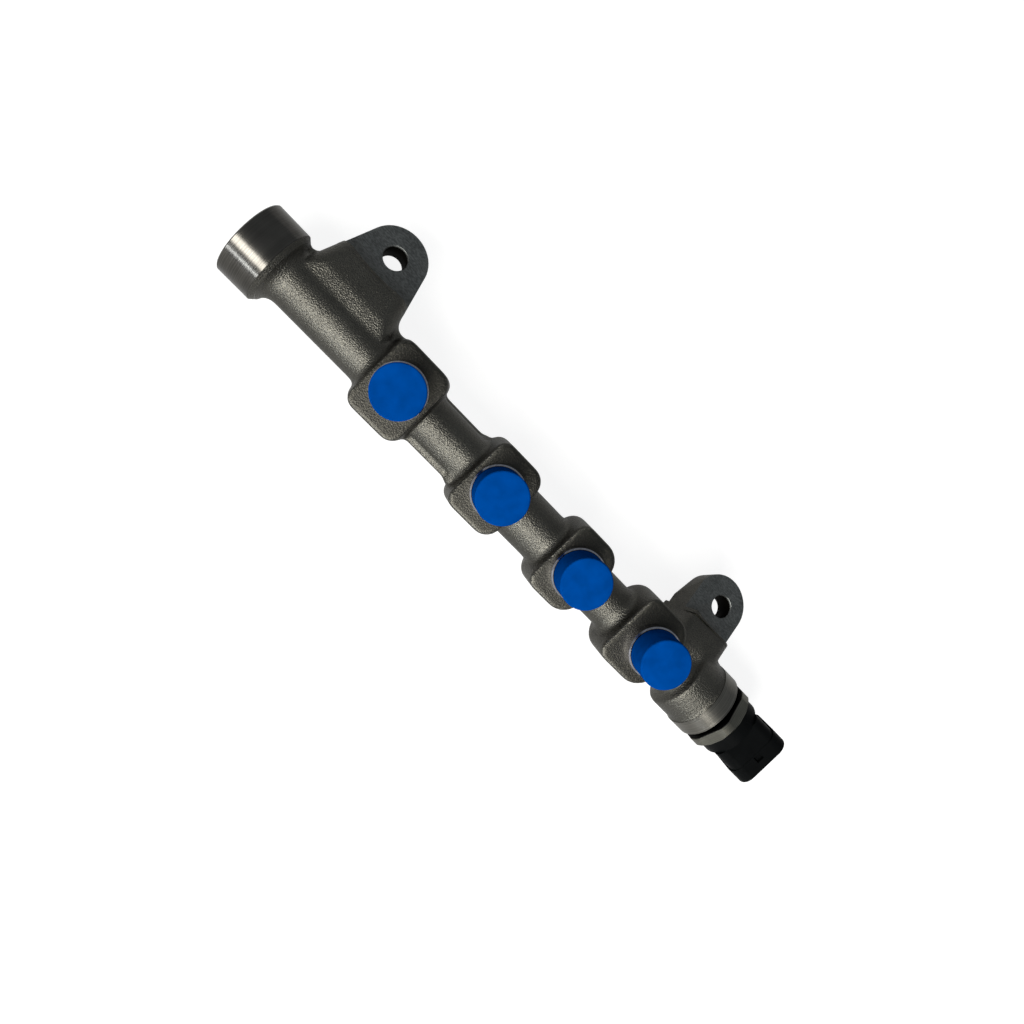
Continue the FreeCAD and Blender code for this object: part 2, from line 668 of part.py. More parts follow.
# Sensor body: nose, threaded stub, hexagon and the cup that holds the connector
sensor = new_body("sensor_body")
steel = new_sketch(sensor, "sensor_profile", "XZ_Plane")
outline(steel, [
    ("nose_x", "sensor_bore_r"), ("nose_x", "nose_r"), ("nose_back_x", "nose_r"),
    ("stub_x", "stub_r"), ("relief_x", "stub_r"), ("relief_x", "relief_r"),
    ("sensor_gap", "relief_r"), ("sensor_gap", "hex_front_r"), ("hex_front_x", "hex_corner_r"),
    ("hex_rear_x", "hex_corner_r"), ("hex_back", "hex_rear_r"), ("hex_back", "cup_r"),
    ("cup_x", "cup_r"), ("cup_x", "cell_room_r"), ("cell_x", "cell_room_r"),
    ("cell_x", "sensor_bore_r")])
turn(sensor, steel)
flats = new_sketch(sensor, "hex_flats_cut", "YZ_Plane")
outline(flats, [("hex_y%d" % k, "hex_z%d" % k) for k in range(6)])
circle(flats, 0, 0, "hex_cut")
pocket(sensor, flats, "hex_back", True)
on_rail(sensor, "Sizes.collar_end")

# Pressure cell: a small steel cup whose closed end is the measuring membrane
cell = new_body("sensor_pressure_cell")
thimble = new_sketch(cell, "cell_profile", "XZ_Plane")
outline(thimble, [("cell_hollow", 0), ("cell_length", 0), ("cell_length", "cell_r"), (0, "cell_r"),
                  (0, "cell_hollow_r"), ("cell_hollow", "cell_hollow_r")])
turn(cell, thimble)
on_rail(cell, "Sizes.collar_end + Sizes.cell_x")

# Flat seal under the connector
seal = new_body("sensor_seal")
ring = new_sketch(seal, "seal_ring", "YZ_Plane")
circle(ring, 0, 0, "seal_out_r")
circle(ring, 0, 0, "seal_in_r")
pad(seal, ring, "seal_thickness")
on_rail(seal, "Sizes.collar_end + Sizes.cup_x")

# Circuit board above the pressure cell
board = new_body("sensor_circuit_board")
disc = new_sketch(board, "board_disc", "YZ_Plane")
circle(disc, 0, 0, "board_r")
pad(board, disc, "board_thickness")
on_rail(board, "Sizes.collar_end + Sizes.board_x")

# Connector: round base, rounded shroud with a thicker lip, deep socket and a latch recess
connector = new_body("sensor_connector")
base = new_sketch(connector, "base_disc", "YZ_Plane", "base_x")
circle(base, 0, 0, "base_r")
pad(connector, base, "base_length")
shroud = new_sketch(connector, "shroud_section", "YZ_Plane", "base_end")
rounded(shroud, "shroud", "shroud_corner", "shroud_corner")
pad(connector, shroud, "shroud_length")
lip = new_sketch(connector, "lip_section", "YZ_Plane", "lip_x")
rounded(lip, "lip", "lip_corner", "lip_corner")
pad(connector, lip, "lip_length")
socket = new_sketch(connector, "socket_section", "YZ_Plane", "socket_x")
rounded(socket, "socket", "socket_corner", "socket_corner")
pocket(connector, socket, "socket_depth", True)
latch = new_sketch(connector, "latch_recess", "XY_Plane", "lip_half_h")
outline(latch, [("latch_x", "latch_neg_w"), ("latch_end", "latch_neg_w"),
                ("latch_end", "latch_half_w"), ("latch_x", "latch_half_w")])
pocket(connector, latch, "latch_depth")
room = new_sketch(connector, "board_space", "YZ_Plane", "base_x")
circle(room, 0, 0, "board_room_r")
pocket(connector, room, "board_room", True)
slots = new_sketch(connector, "blade_slots", "YZ_Plane", "board_room_x")


def blade_outline(sketch, at):
    """Rectangle of one contact blade."""
    outline(sketch, [(at + "_l", "blade_low"), (at + "_r", "blade_low"),
                     (at + "_r", "blade_half_t"), (at + "_l", "blade_half_t")])


for place in range(1, 4):
    blade_outline(slots, "blade_%d" % place)
pocket(connector, slots, "blade_slot", True)
on_rail(connector, "Sizes.collar_end")

# Contact blades, one node each
for place in range(1, 4):
    blade = new_body("sensor_terminal_%d" % place)
    section = new_sketch(blade, "terminal_section_%d" % place, "YZ_Plane")
    blade_outline(section, "blade_%d" % place)
    pad(blade, section, "blade_length")
    on_rail(blade, "Sizes.collar_end + Sizes.board_room_x")

doc.recompute()

for item in doc.Objects:
    if "Invalid" in item.State or "Error" in item.State:
        raise RuntimeError("%s did not build: %s" % (item.Name, item.State))
os.makedirs("parts", exist_ok=True)
for item in parts:
    shape = item.Shape
    if shape.isNull() or not shape.isValid() or not shape.Solids:
        raise RuntimeError("%s has no sound shape" % item.Name)
    item.Label = item.Name
    shape.exportStep("parts/%s.step" % item.Name)
    box = shape.BoundBox
    print("%-22s %9.1f mm3  %6.1f x %5.1f x %5.1f mm" % (
        item.Name, shape.Volume, box.XLength, box.YLength, box.ZLength))
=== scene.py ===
# %% [markdown]
# # Fuel rail: the dressed model
# The object is a forged steel fuel rail. Only a few of its faces are machined: the two turned ends, the
# connection nipples and the milled pads of the bolt ears. The rest is shot-blasted, with soft corners.
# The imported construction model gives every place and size. This lesson gives each surface its finish.

# %% Load the frame
import json
import math

import bmesh
import bpy
import numpy as np
from mathutils import Matrix, Vector


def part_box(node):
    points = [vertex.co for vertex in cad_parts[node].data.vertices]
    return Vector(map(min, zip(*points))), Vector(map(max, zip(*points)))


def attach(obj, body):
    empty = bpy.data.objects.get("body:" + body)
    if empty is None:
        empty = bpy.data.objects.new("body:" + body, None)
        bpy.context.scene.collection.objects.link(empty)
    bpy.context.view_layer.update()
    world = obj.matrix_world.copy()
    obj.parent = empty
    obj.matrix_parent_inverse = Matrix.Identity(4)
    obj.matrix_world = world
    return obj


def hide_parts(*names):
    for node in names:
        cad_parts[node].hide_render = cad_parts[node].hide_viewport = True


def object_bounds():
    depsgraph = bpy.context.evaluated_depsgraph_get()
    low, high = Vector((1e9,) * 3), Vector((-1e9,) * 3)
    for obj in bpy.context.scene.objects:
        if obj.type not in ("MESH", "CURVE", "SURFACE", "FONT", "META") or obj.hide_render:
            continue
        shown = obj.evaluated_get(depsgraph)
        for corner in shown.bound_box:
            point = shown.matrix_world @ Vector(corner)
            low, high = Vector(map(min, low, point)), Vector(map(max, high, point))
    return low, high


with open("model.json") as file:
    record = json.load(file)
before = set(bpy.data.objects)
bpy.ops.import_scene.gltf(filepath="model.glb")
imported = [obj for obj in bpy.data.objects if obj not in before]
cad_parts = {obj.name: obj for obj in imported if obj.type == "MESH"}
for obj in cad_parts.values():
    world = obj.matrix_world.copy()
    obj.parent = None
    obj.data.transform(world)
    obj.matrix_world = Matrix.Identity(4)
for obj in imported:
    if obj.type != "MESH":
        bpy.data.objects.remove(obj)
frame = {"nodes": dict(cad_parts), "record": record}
cad_box = [list(corner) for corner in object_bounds()]
MM = 0.001
print("nodes:", sorted(frame["nodes"]))

# %% [markdown]
# Everything on the rail is placed from two directions: the rail's own axis, and the lean of the outlets.
# Both can be read from the frame, so nothing is measured twice. The seal is centred on the rail axis, and
# the caps stand on the outlets, so their middles give the axis and the lean. The rail space has its origin
# on that axis and its Z along the outlets.


# %% Directions and places
def middle(node):
    """Middle of a node's box."""
    low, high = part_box(node)
    return (low + high) / 2


AXIS = middle("sensor_seal")
AXIS.x = 0
CAPS = ["outlet_cap_1", "outlet_cap_2", "outlet_cap_3", "outlet_cap_4"]
reach = middle(CAPS[0]) - AXIS
LEAN = math.atan2(-reach.y, reach.z)
OUTLET_X = [middle(cap).x for cap in CAPS]
HEAD_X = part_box("rail_body")[0].x
COLLAR_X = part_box("rail_body")[1].x
RAIL = Matrix.Translation(AXIS) @ Matrix.Rotation(LEAN, 4, "X")
OUTLET_WAY = (RAIL.to_3x3() @ Vector((0, 0, 1))).normalized()


def lift_of(point):
    """Height of a point along the outlets' lean, in millimetres above the rail's axis."""
    return (point - AXIS).dot(OUTLET_WAY) / MM


print("lean %.2f deg, outlets at %s mm" % (math.degrees(LEAN), [round(x / MM, 1) for x in OUTLET_X]))

# %% [markdown]
# A material here is a small tree of shader nodes. Small helpers keep the cells short. The first adds a node
# and fills in its sockets, and the second starts a material with its main shader. The others each add one
# step that every finish needs: a ramp, a bump, a spread of roughness, a product. Patterns read Object
# coordinates, scaled to millimetres first, so that a scale of 1 means one feature per millimetre.


# %% Material helpers
def put(tree, kind, links=(), **sockets):
    """Add a node; sockets are its plain values by name, links are (input, output socket) pairs."""
    node = tree.nodes.new("ShaderNode" + kind)
    for name, value in sockets.items():
        if hasattr(node, name):
            setattr(node, name, value)
        else:
            node.inputs[name.replace("_", " ")].default_value = value
    for name, source in links:
        tree.links.new(source, node.inputs[name])
    return node


def new_finish(name, **sockets):
    """A material with its main shader, and the millimetre coordinates of the piece."""
    finish = bpy.data.materials.new(name)
    finish.use_nodes = True
    tree = finish.node_tree
    shader = tree.nodes["Principled BSDF"]
    for socket, value in sockets.items():
        shader.inputs[socket.replace("_", " ")].default_value = value
    place = put(tree, "TexCoord").outputs["Object"]
    millimetres = put(tree, "Mapping", [("Vector", place)], Scale=(1 / MM,) * 3)
    return finish, tree, shader, millimetres.outputs[0]


def ramp(tree, factor, low, high, dark, light):
    """Two-colour ramp over part of a factor's range."""
    node = put(tree, "ValToRGB", [("Fac", factor)])
    first, last = node.color_ramp.elements
    first.position, last.position = low, high
    first.color, last.color = (*dark, 1), (*light, 1)
    return node.outputs["Color"]


def bump(tree, shader, height, distance, strength):
    """Raised pattern on a shader; distance is in millimetres."""
    node = put(tree, "Bump", [("Height", height)], Strength=strength, Distance=distance * MM)
    tree.links.new(node.outputs[0], shader.inputs["Normal"])


def spread(tree, shader, factor, least, most):
    """Let the roughness of a shader run between two values with a factor."""
    rough = put(tree, "MapRange", [("Value", factor)], To_Min=least, To_Max=most)
    tree.links.new(rough.outputs[0], shader.inputs["Roughness"])


def multiplied(tree, first, second):
    """Product of two colours."""
    node = put(tree, "Mix", [("A", first), ("B", second)], data_type="RGBA", blend_type="MULTIPLY")
    node.inputs["Factor"].default_value = 1.0
    return node.outputs["Result"]


def scaled(tone, share):
    """A colour made darker or lighter."""
    return tuple(min(share * value, 1) for value in tone)


# %% [markdown]
# Shot-blasted forged steel is a dark, dull metal. The shot leaves overlapping dimples a few tenths of a
# millimetre wide, which glint where they face the light, and the scale under it leaves faint warm and cool
# patches. Voronoi cells make the dimples, noise breaks them up, and a wide noise shifts the tone. The flat
# faces of the blocks are smoother than the round tube, so they get less depth, and their darker tone is
# painted shade.

# %% Blasted steel
DULL_TONE, PALE_TONE = (0.09, 0.088, 0.079), (0.121, 0.119, 0.107)
SPECK_DARK, SPECK_LIGHT = (0.74, 0.74, 0.76), (1.25, 1.23, 1.17)
FORGED_ROUGH, FORGED_GLINT = 0.45, 0.32


def steel_forged(name, shade, depth):
    """Blasted finish; shade scales its tone, and below 1 it is painted shade; depth is the height of the
    dimples in millimetres.
    """
    finish, tree, shader, place = new_finish(name, Metallic=1.0)
    dimples = put(tree, "TexVoronoi", [("Vector", place)], Scale=2.0, feature="SMOOTH_F1", Smoothness=0.5)
    grain = put(tree, "TexNoise", [("Vector", place)], Scale=2.6, Detail=4.0, Roughness=0.6).outputs["Fac"]
    patches = put(tree, "TexNoise", [("Vector", place)], Scale=0.055, Detail=3.0, Roughness=0.6)
    tone = ramp(tree, patches.outputs["Fac"], 0.3, 0.72, scaled(DULL_TONE, shade), scaled(PALE_TONE, shade))
    speck = ramp(tree, grain, 0.35, 0.66, SPECK_DARK, SPECK_LIGHT)
    tree.links.new(multiplied(tree, tone, speck), shader.inputs["Base Color"])
    spread(tree, shader, grain, FORGED_ROUGH, FORGED_GLINT)
    height = put(tree, "Math", [(0, dimples.outputs["Distance"]), (1, grain)], operation="ADD")
    bump(tree, shader, height.outputs[0], depth, 0.8)
    return finish


STEEL_FORGED = steel_forged("steel_forged", shade=1.0, depth=0.18)
# The block faces' darker tone is painted shade; their smaller depth is their smoother surface.
STEEL_FLAT_PAINTED_SHADE = steel_forged("steel_flat_painted_shade", shade=0.55, depth=0.07)
print("blasted finishes:", STEEL_FORGED.name, STEEL_FLAT_PAINTED_SHADE.name)

# %% [markdown]
# Turned and milled steel is brighter and smoother than the forging. The cutter leaves fine rings round the
# axis, each a little different in depth. A noise that is stretched round the axis gives such rings: its
# coordinate along the axis is scaled up, and the other two are scaled down to almost nothing. On a milled
# pad the marks run across instead. Inside the gap behind the sensor's hexagon its finish is painted black as
# shadow.


# %% Turned steel
TURNED_RINGS = (3.6, 0.004, 0.004)
MILLED_RINGS = (0.9, 2.2, 0.9)
STREAK_DARK, STREAK_LIGHT = (0.72,) * 3, (1.22,) * 3
# Painted shadow: black for the inside of the gap behind the sensor's hexagon, blended in over GAP_BLEND.
GAP_PAINTED_SHADOW = (0.004, 0.004, 0.004)
GAP_BLEND = 0.1


def painted_shadow_before(tree, place, edge, colour):
    """Colour painted black as shadow on the near side of a place along the rail, given in metres."""
    along = put(tree, "SeparateXYZ", [("Vector", place)]).outputs["X"]
    lit = put(tree, "MapRange", [("Value", along)],
              From_Min=edge / MM - GAP_BLEND, From_Max=edge / MM + GAP_BLEND).outputs[0]
    shaded = put(tree, "Mix", [("Factor", lit), ("B", colour)], data_type="RGBA")
    shaded.inputs["A"].default_value = (*GAP_PAINTED_SHADOW, 1)
    return shaded.outputs["Result"]


def steel_turned(name, tone, roughness, rings=TURNED_RINGS, painted_shadow_until=None):
    """Turned finish; as far as the given place along the rail it is painted black, as the shadow in a narrow
    gap.
    """
    finish, tree, shader, place = new_finish(name, Metallic=1.0)
    stretched = put(tree, "Mapping", [("Vector", place)], Scale=rings).outputs[0]
    lines = put(tree, "TexNoise", [("Vector", stretched)], Scale=1.0, Detail=2.0, Roughness=0.6)
    cloud = put(tree, "TexNoise", [("Vector", place)], Scale=0.16, Detail=3.0)
    lines, cloud = lines.outputs["Fac"], cloud.outputs["Fac"]
    colour = ramp(tree, cloud, 0.3, 0.7, scaled(tone, 0.78), tone)
    colour = multiplied(tree, colour, ramp(tree, lines, 0.36, 0.64, STREAK_DARK, STREAK_LIGHT))
    if painted_shadow_until:
        colour = painted_shadow_before(tree, place, painted_shadow_until, colour)
    tree.links.new(colour, shader.inputs["Base Color"])
    spread(tree, shader, lines, roughness - 0.05, roughness + 0.08)
    bump(tree, shader, lines, 0.05, 0.5)
    return finish


# The sensor's steel is painted black as shadow up to this place, 2.2 mm past the collar.
PAINTED_SHADOW_END = COLLAR_X + 2.2 * MM
STEEL_TURNED = steel_turned("steel_turned", (0.125, 0.12, 0.11), 0.2)
STEEL_COLLAR = steel_turned("steel_collar", (0.2, 0.193, 0.172), 0.3)
STEEL_NIPPLE = steel_turned("steel_nipple", (0.45, 0.45, 0.5), 0.15)
STEEL_MILLED = steel_turned("steel_milled", (0.2, 0.21, 0.207), 0.42, rings=MILLED_RINGS)
STEEL_SENSOR = steel_turned("steel_sensor", (0.185, 0.181, 0.153), 0.3, painted_shadow_until=PAINTED_SHADOW_END)
STEEL_CELL = steel_turned("steel_cell", (0.3, 0.3, 0.29), 0.25)
print("sensor steel is black until x = %.1f mm" % (PAINTED_SHADOW_END / MM))

# %% [markdown]
# The transport caps are soft blue polyethylene with a matt skin, the connector is black glass-filled nylon
# with a faint sheen. Neither is one flat colour: the skin of a moulding has a slight cloudiness and a fine
# grain, and both show in its roughness more than in its colour. Bore walls and shelves that lie in shade are
# painted almost black, as painted shade.


# %% Moulded plastics, rubber, board and contacts
def moulded(name, tone, roughness, grain_scale, grain_depth, metallic=0.0, sheen=0.5):
    """Moulded or plated finish; grain_depth is in millimetres, sheen is its mirror part."""
    finish, tree, shader, place = new_finish(name, Metallic=metallic, Specular_IOR_Level=sheen)
    cloud = put(tree, "TexNoise", [("Vector", place)], Scale=0.22, Detail=3.0).outputs["Fac"]
    grain = put(tree, "TexNoise", [("Vector", place)], Scale=grain_scale, Detail=3.0).outputs["Fac"]
    colour = ramp(tree, cloud, 0.3, 0.7, scaled(tone, 0.86), scaled(tone, 1.12))
    tree.links.new(colour, shader.inputs["Base Color"])
    spread(tree, shader, cloud, roughness - 0.06, roughness + 0.06)
    bump(tree, shader, grain, grain_depth, 0.5)
    return finish


PLASTIC_BLUE = moulded("plastic_blue", (0.0, 0.0455, 0.238), 0.62, 3.0, 0.015, sheen=0.0)
PLASTIC_BLACK = moulded("plastic_black", (0.0026, 0.003, 0.0032), 0.4, 4.0, 0.03, sheen=0.035)
# Painted shade: near-black for bolt-hole walls and nipple shelves that lie in shade.
BORE_PAINTED_SHADE = moulded("bore_painted_shade", (0.0015, 0.0014, 0.0011), 0.5, 4.0, 0.02, sheen=0.02)
RUBBER_SEAL = moulded("rubber_seal", (0.02, 0.02, 0.02), 0.6, 5.0, 0.01)
BOARD_GREEN = moulded("board_green", (0.01, 0.07, 0.02), 0.35, 6.0, 0.01)
BRASS_TINNED = moulded("brass_tinned", (0.62, 0.52, 0.3), 0.25, 8.0, 0.005, metallic=1.0)
print("finishes so far:", len(bpy.data.materials))

# %% [markdown]
# A machined piece is a turned shape, so it is made by carrying a profile round an axis, as a lathe would.
# The profile is a closed list of points, each with a distance along the axis and a radius.


# %% Lathe helper
def lathe(name, profile, place, along="X", segments=144):
    """Closed turned piece; profile points are (along, radius) in millimetres, place puts it on the rail."""
    verts, faces = [], []
    rows = len(profile)
    for step in range(segments):
        angle = 2 * math.pi * step / segments
        for far, radius in profile:
            around = (radius * math.cos(angle), radius * math.sin(angle))
            point = (far, *around) if along == "X" else (*around, far)
            verts.append(place @ (Vector(point) * MM))
    for step in range(segments):
        after = (step + 1) % segments
        for row in range(rows):
            under = (row + 1) % rows
            faces.append((step * rows + row, step * rows + under,
                          after * rows + under, after * rows + row))
    mesh = bpy.data.meshes.new(name)
    mesh.from_pydata([tuple(v) for v in verts], [], faces)
    return finish_mesh(name, mesh)


def finish_mesh(name, mesh, sharp=32):
    """Clean a mesh, point its faces outwards, keep edges sharper than an angle, and make its object."""
    work = bmesh.new()
    work.from_mesh(mesh)
    bmesh.ops.remove_doubles(work, verts=work.verts, dist=1e-6)
    bmesh.ops.dissolve_degenerate(work, edges=work.edges, dist=1e-7)
    bmesh.ops.recalc_face_normals(work, faces=work.faces)
    work.to_mesh(mesh)
    work.free()
    mesh.shade_smooth()
    mesh.set_sharp_from_angle(angle=math.radians(sharp))
    piece = bpy.data.objects.new(name, mesh)
    bpy.context.scene.collection.objects.link(piece)
    return piece


def dress(piece, slot_name, *finishes):
    """Give a piece its finishes and its place on the rail's one body; the first finish is on every face."""
    piece.data.materials.clear()
    for finish in finishes:
        piece.data.materials.append(finish)
    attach(piece, "root")
    print("%s: %d faces" % (piece.name, len(piece.data.polygons)))


# %% [markdown]
# The forging is the main piece. Its solid in the frame has sharp inner and outer corners, and a real
# forging has none: the blocks flow into the tube, and every corner is worn round by the shot. So a copy of
# the solid is turned into an even skin of small squares, and the skin is relaxed. Relaxing fills hollow
# corners and rounds proud ones by about the same amount. First the copy loses its bores and its nipples, and
# at both ends it keeps a little to spare, so that the relaxing doesn't reach the part that will show.


# %% Copy and cut the rail's solid
HEAD_LENGTH, COLLAR_LENGTH = 14.2, 7.1
SHOULDER_X = HEAD_X + HEAD_LENGTH * MM
COLLAR_START = COLLAR_X - COLLAR_LENGTH * MM
BLOCK_FACE = 13.8
FACE_SPARE, END_SPARE = 0.02, 4.0
BORE_REACH, CROSS_REACH = 8.6, 1.7
PAD_CUT = 18.0
FLANGE_PLANE = Vector((0, AXIS.y + PAD_CUT * MM, 0))
LEFT, RIGHT, FORWARD, BACK = (Vector(way) for way in ((-1, 0, 0), (1, 0, 0), (0, 1, 0), (0, -1, 0)))


def cut(work, point, away):
    """Cut a mesh with a plane, drop what lies on the side that away points to, and close the cut."""
    everything = work.verts[:] + work.edges[:] + work.faces[:]
    bmesh.ops.bisect_plane(work, geom=everything, dist=1e-7, plane_co=point, plane_no=away, clear_outer=True)
    rim = [edge for edge in work.edges if edge.is_boundary]
    bmesh.ops.holes_fill(work, edges=rim, sides=0)


def solid_copy(node):
    """Merged copy of a node's mesh."""
    work = bmesh.new()
    work.from_mesh(frame["nodes"][node].data)
    bmesh.ops.remove_doubles(work, verts=work.verts, dist=2e-6)
    return work


def without_bores(work):
    """Delete the walls of the lengthwise bore and the cross bores."""
    to_rail = RAIL.inverted()
    inner = []
    for face in work.faces:
        spot = to_rail @ face.calc_center_median() / MM
        lengthwise = math.hypot(spot.y, spot.z) < BORE_REACH
        cross = spot.z > 0 and any(math.hypot(spot.x - x / MM, spot.y) < CROSS_REACH for x in OUTLET_X)
        if lengthwise or cross:
            inner.append(face)
    bmesh.ops.delete(work, geom=inner, context="FACES")


forged = solid_copy("rail_body")
without_bores(forged)
cut(forged, Vector((SHOULDER_X - END_SPARE * MM, 0, 0)), LEFT)
cut(forged, Vector((COLLAR_START + END_SPARE * MM, 0, 0)), RIGHT)
cut(forged, AXIS + OUTLET_WAY * (BLOCK_FACE + FACE_SPARE) * MM, OUTLET_WAY)
bmesh.ops.triangulate(forged, faces=forged.faces[:])
core = bpy.data.meshes.new("forging_core")
forged.to_mesh(core)
open_edges = sum(edge.is_boundary for edge in forged.edges)
forged.free()
print("forging core: %d faces, %d open edges" % (len(core.polygons), open_edges))

# %% [markdown]
# Blender's voxel remesh makes the even skin. The relaxing is written out here, because each place needs
# its own amount: each point moves towards the average of its neighbours, by a share that is its own weight.
# The weight fades out towards the plane where the ears' crisp flanges take over, and two places beside the
# ears are relaxed much longer. Between the first two blocks a strip of forging flash runs along the tube.
# The voxels give it a broad foot, which is pulled in first.

# %% Even skin, relaxed
SKIN_CELL = 0.5
RELAX_ROUNDS, SOFT_ROUNDS = 10, 90
HELD_WEIGHT, FREE_WEIGHT, FADE_WIDTH = 0.04, 0.5, 0.8
SOFT_PLACES = [((77.0, -21.0, 10.0), 10.5), ((-66.5, -16.5, 4.0), 6.0)]
TUBE_R, FLASH_RISE, FLASH_HALF, FLASH_FADE = 9.0, 2.4, 1.0, 1.5
FLASH_ENDS = (OUTLET_X[0] / MM + 11.2, OUTLET_X[1] / MM - 13.6)


def even_skin(mesh, cell):
    """Voxel remesh of a closed mesh."""
    carrier = bpy.data.objects.new("skin_carrier", mesh)
    bpy.context.scene.collection.objects.link(carrier)
    remesh = carrier.modifiers.new("Remesh", "REMESH")
    remesh.mode = "VOXEL"
    remesh.voxel_size = cell * MM
    graph = bpy.context.evaluated_depsgraph_get()
    skin = bpy.data.meshes.new_from_object(carrier.evaluated_get(graph))
    bpy.data.objects.remove(carrier)
    return skin


def relax(mesh, rounds, weight_of):
    """Move every point towards the average of its neighbours, by its own weight."""
    count = len(mesh.vertices)
    points = np.zeros(count * 3)
    mesh.vertices.foreach_get("co", points)
    points = points.reshape(-1, 3)
    ends = np.zeros(len(mesh.edges) * 2, int)
    mesh.edges.foreach_get("vertices", ends)
    ends = ends.reshape(-1, 2)
    degree = np.bincount(ends.ravel(), minlength=count)
    weight = weight_of(points)[:, None]
    for unused in range(rounds):
        total = np.zeros_like(points)
        for axis in range(3):
            total[:, axis] = (np.bincount(ends[:, 0], points[ends[:, 1], axis], count)
                              + np.bincount(ends[:, 1], points[ends[:, 0], axis], count))
        points = points + weight * (total / degree[:, None] - points)
    mesh.vertices.foreach_set("co", points.ravel())
    mesh.update()


def forged_weight(points):
    """Full relaxing on the forging, hardly any beyond the plane where the ears' flanges take over."""
    forward = (points[:, 1] - AXIS.y) / MM
    fade = np.clip((PAD_CUT + FADE_WIDTH - forward) / FADE_WIDTH, 0, 1)
    return HELD_WEIGHT + FREE_WEIGHT * fade


def soft_weight(points):
    """Strong relaxing where a block runs into an ear, fading out over a few millimetres."""
    weight = np.zeros(len(points))
    for place, around in SOFT_PLACES:
        apart = np.linalg.norm(points / MM - place, axis=1)
        weight = np.maximum(weight, FREE_WEIGHT * np.exp(-(apart / around) ** 4))
    return weight


def thin_flash(mesh):
    """Pull the broad foot of the flash strip in, so that only a narrow line stands out from the tube."""
    for point in mesh.vertices:
        along = point.co.x / MM
        side, height = (point.co.y - AXIS.y) / MM, (point.co.z - AXIS.z) / MM
        radius = math.hypot(side, height)
        allowed = TUBE_R + FLASH_RISE * math.exp(-(height / FLASH_HALF) ** 2)
        if radius <= allowed or not FLASH_ENDS[0] < along < FLASH_ENDS[1]:
            continue
        inside = min(along - FLASH_ENDS[0], FLASH_ENDS[1] - along, FLASH_FADE) / FLASH_FADE
        shrink = 1 + inside * (allowed / radius - 1)
        point.co.y = AXIS.y + side * shrink * MM
        point.co.z = AXIS.z + height * shrink * MM


skin = even_skin(core, SKIN_CELL)
thin_flash(skin)
relax(skin, RELAX_ROUNDS, forged_weight)
relax(skin, SOFT_ROUNDS, soft_weight)
print("skin: %d faces" % len(skin.polygons))

# %% Trim the skin where machined pieces take over
FACE_BAND, FACE_SQUARE = 0.3, 0.96
trim = bmesh.new()
trim.from_mesh(skin)
cut(trim, Vector((SHOULDER_X, 0, 0)), LEFT)
cut(trim, Vector((COLLAR_START, 0, 0)), RIGHT)
cut(trim, FLANGE_PLANE, FORWARD)
trim.to_mesh(skin)
trim.free()
rail_forging = finish_mesh("rail_forging", skin, sharp=60)
dress(rail_forging, "blasted_steel", STEEL_FORGED, STEEL_FLAT_PAINTED_SHADE)
# Square faces at the blocks' face height get the darker painted-shade finish.
for face in rail_forging.data.polygons:
    square = face.normal.dot(OUTLET_WAY) > FACE_SQUARE
    face.material_index = int(square and lift_of(face.center) > BLOCK_FACE - FACE_BAND)
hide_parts("rail_body")

# %% [markdown]
# Beyond the plane where the skin stops, each ear is taken from the solid itself, so the milled pad, the
# round tip and the bolt hole keep their crisp edges.

# %% Ear flanges
PAD_TOP, PAD_UNDER, PAD_BAND = 8.1, 0.0, 0.05
RIM_REACH, WALL_REACH = 0.5, 0.05
bolts = frame["record"]["mounts"][0]["dims"]
BOLT_X, BOLT_HOLE_R = bolts["spacing_x_mm"] / 2, bolts["hole_r_mm"]
# The hole walls get the near-black painted-shade finish.
FORGED, MILLED, PAINTED_SHADE_WALL = 0, 1, 2


def flange_finish(face):
    """Number of a flange face's finish: milled pads and hole rims, near-black painted shade on the hole
    walls, forged elsewhere.
    """
    spot = face.center / MM
    from_bolt = math.hypot(abs(spot.x) - BOLT_X, spot.y)
    if abs(face.normal.z) > 0.99 and min(abs(spot.z - PAD_TOP), abs(spot.z - PAD_UNDER)) < PAD_BAND:
        return MILLED
    if from_bolt < BOLT_HOLE_R + RIM_REACH:
        return MILLED if from_bolt > BOLT_HOLE_R + WALL_REACH else PAINTED_SHADE_WALL
    return FORGED


flange = solid_copy("rail_body")
cut(flange, FLANGE_PLANE, BACK)
flange_mesh = bpy.data.meshes.new("ear_flanges")
flange.to_mesh(flange_mesh)
flange.free()
ear_flanges = finish_mesh("ear_flanges", flange_mesh)
dress(ear_flanges, "blasted_steel", STEEL_FORGED, STEEL_MILLED, BORE_PAINTED_SHADE)
for face in ear_flanges.data.polygons:
    face.material_index = flange_finish(face)

# %% [markdown]
# The head and the collar are turned. The head holds the inlet port, whose thread is cut into its wall. The
# cone behind the head was left as it was forged, so it has the blasted finish.

